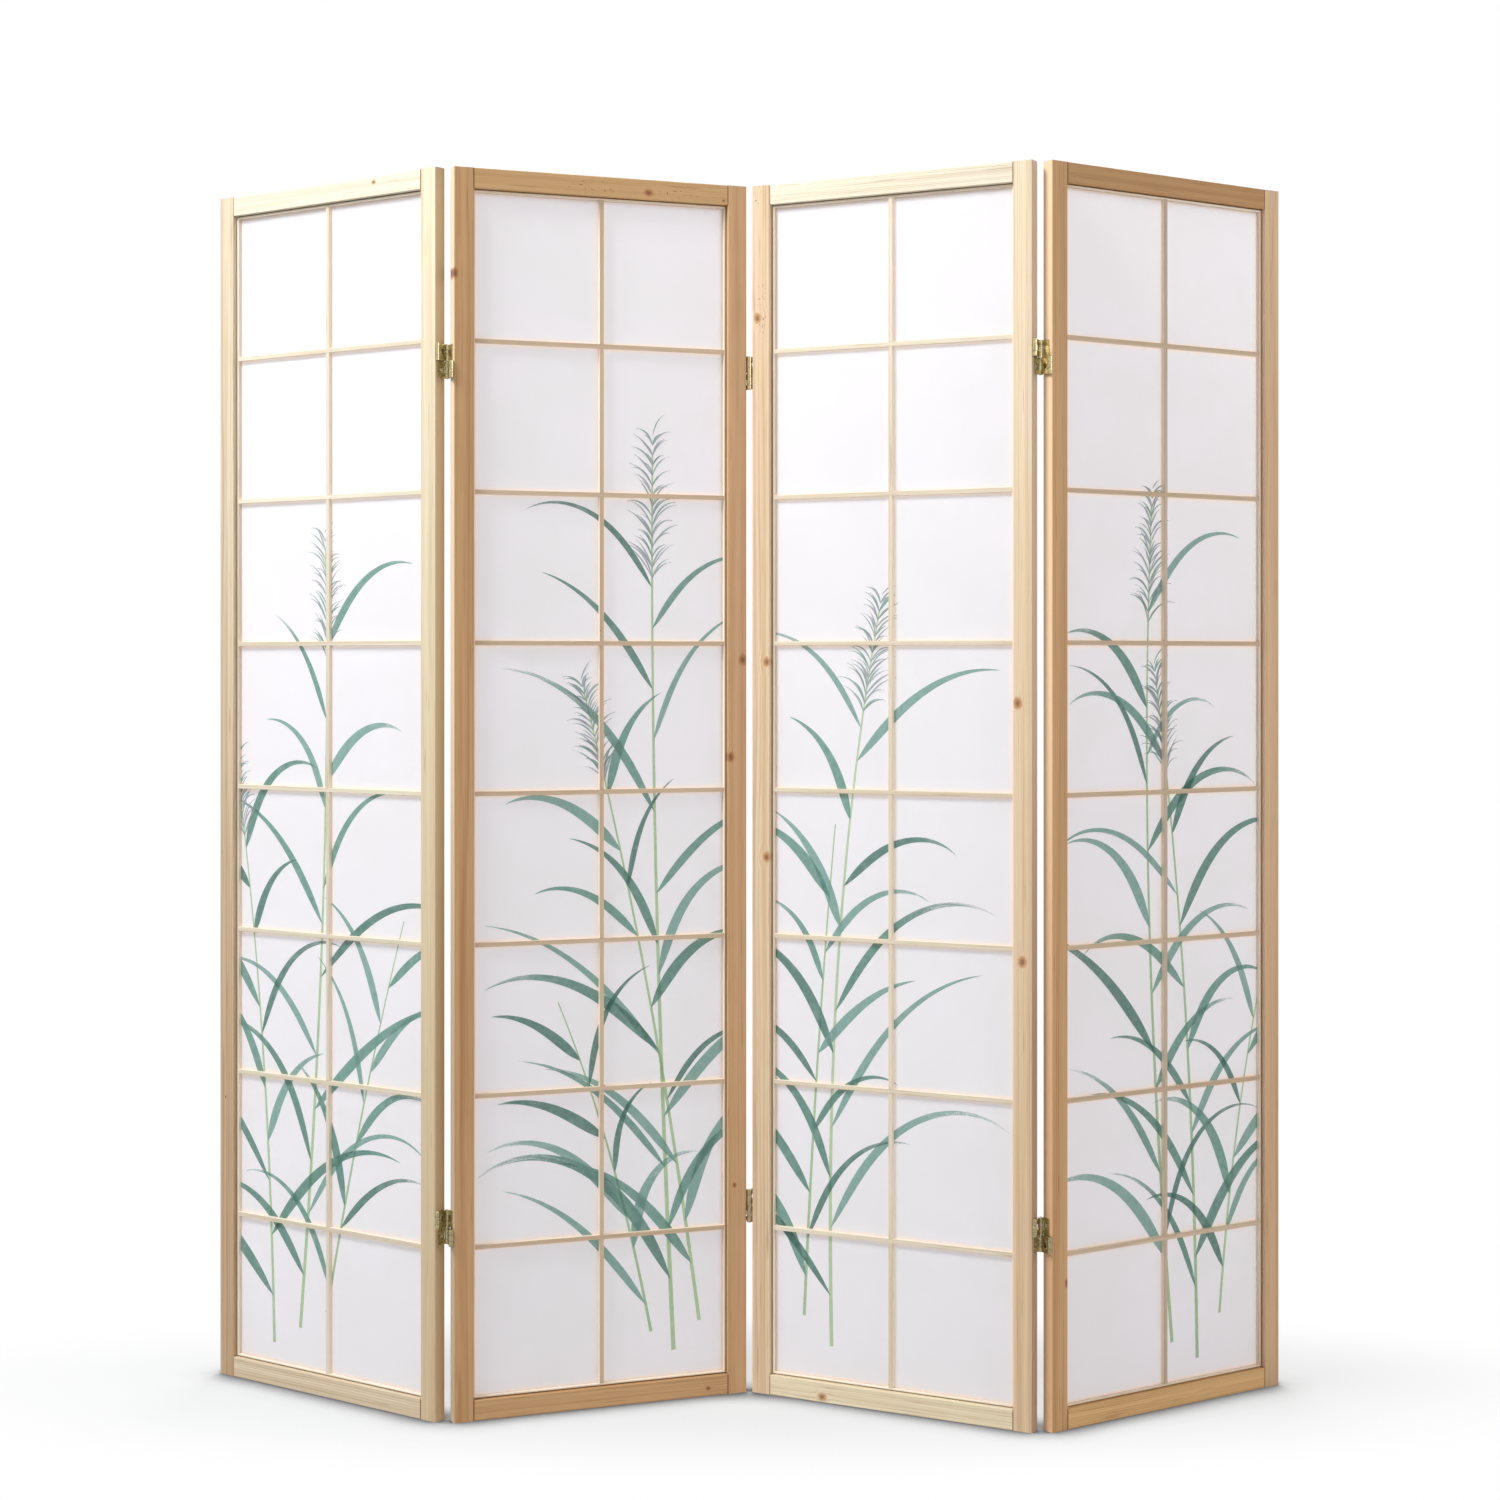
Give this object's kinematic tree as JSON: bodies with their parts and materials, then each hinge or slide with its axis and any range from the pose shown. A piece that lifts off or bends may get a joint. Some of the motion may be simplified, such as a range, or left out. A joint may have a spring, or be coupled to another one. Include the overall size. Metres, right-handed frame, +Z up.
{
  "type": "folding screen",
  "caption": "Free-standing room divider of paper-backed softwood lattice panels, joined by brass hinges that fold either way.",
  "frame": {"origin": "centre of the bounding box in plan, at the floor, as the screen stands in the picture", "axes": "+Z up, +X to the viewer's right along the row of panels, +Y away from the viewer"},
  "size_m": [1.5914, 0.339, 1.78],
  "materials": {
    "wood": "clear satin on knotty softwood",
    "lattice_wood": "clear satin on straight-grained softwood",
    "dowel_wood": "unfinished hardwood",
    "paper": "matt fibrous paper",
    "brass": "brass-plated, bright",
    "screw_brass": "brass-plated, bright"
  },
  "bodies": {
    "panel_1": {"panel_1_left_stile": "wood", "panel_1_right_stile": "wood", "panel_1_top_rail": "wood", "panel_1_bottom_rail": "wood", "panel_1_lattice_border": "lattice_wood", "panel_1_lattice_bars": "lattice_wood", "panel_1_paper": "paper", "panel_1_back_beads": "lattice_wood", "panel_1_dowels": "dowel_wood", "hinges_12_left_leaves": "brass", "hinges_12_left_pins": "brass", "hinges_12_left_screws": "screw_brass", "hinges_12_upper_links": "brass"},
    "panel_2": {"panel_2_left_stile": "wood", "panel_2_right_stile": "wood", "panel_2_top_rail": "wood", "panel_2_bottom_rail": "wood", "panel_2_lattice_border": "lattice_wood", "panel_2_lattice_bars": "lattice_wood", "panel_2_paper": "paper", "panel_2_back_beads": "lattice_wood", "panel_2_dowels": "dowel_wood", "hinges_12_right_leaves": "brass", "hinges_12_right_pins": "brass", "hinges_12_right_screws": "screw_brass", "hinges_12_lower_links": "brass", "hinges_23_left_leaves": "brass", "hinges_23_left_pins": "brass", "hinges_23_left_screws": "screw_brass", "hinges_23_lower_links": "brass"},
    "panel_3": {"panel_3_left_stile": "wood", "panel_3_right_stile": "wood", "panel_3_top_rail": "wood", "panel_3_bottom_rail": "wood", "panel_3_lattice_border": "lattice_wood", "panel_3_lattice_bars": "lattice_wood", "panel_3_paper": "paper", "panel_3_back_beads": "lattice_wood", "panel_3_dowels": "dowel_wood", "hinges_23_right_leaves": "brass", "hinges_23_right_pins": "brass", "hinges_23_right_screws": "screw_brass", "hinges_23_upper_links": "brass", "hinges_34_left_leaves": "brass", "hinges_34_left_pins": "brass", "hinges_34_left_screws": "screw_brass", "hinges_34_upper_links": "brass"},
    "panel_4": {"panel_4_left_stile": "wood", "panel_4_right_stile": "wood", "panel_4_top_rail": "wood", "panel_4_bottom_rail": "wood", "panel_4_lattice_border": "lattice_wood", "panel_4_lattice_bars": "lattice_wood", "panel_4_paper": "paper", "panel_4_back_beads": "lattice_wood", "panel_4_dowels": "dowel_wood", "hinges_34_right_leaves": "brass", "hinges_34_right_pins": "brass", "hinges_34_right_screws": "screw_brass", "hinges_34_lower_links": "brass"}
  },
  "joints": [
    {"name": "fold_12", "type": "hinge", "parent": "panel_2", "child": "panel_1", "pos_m": [-0.42326, -0.09665, 0.89], "axis": [0, 0, -1], "range_deg": [-58, 122]},
    {"name": "fold_23", "type": "hinge", "parent": "panel_2", "child": "panel_3", "pos_m": [0.00629, 0.05052, 0.89], "axis": [0, 0, -1], "range_deg": [-50, 129]},
    {"name": "fold_34", "type": "hinge", "parent": "panel_3", "child": "panel_4", "pos_m": [0.4147, -0.1479, 0.89], "axis": [0, 0, 1], "range_deg": [-63, 117]}
  ]
}
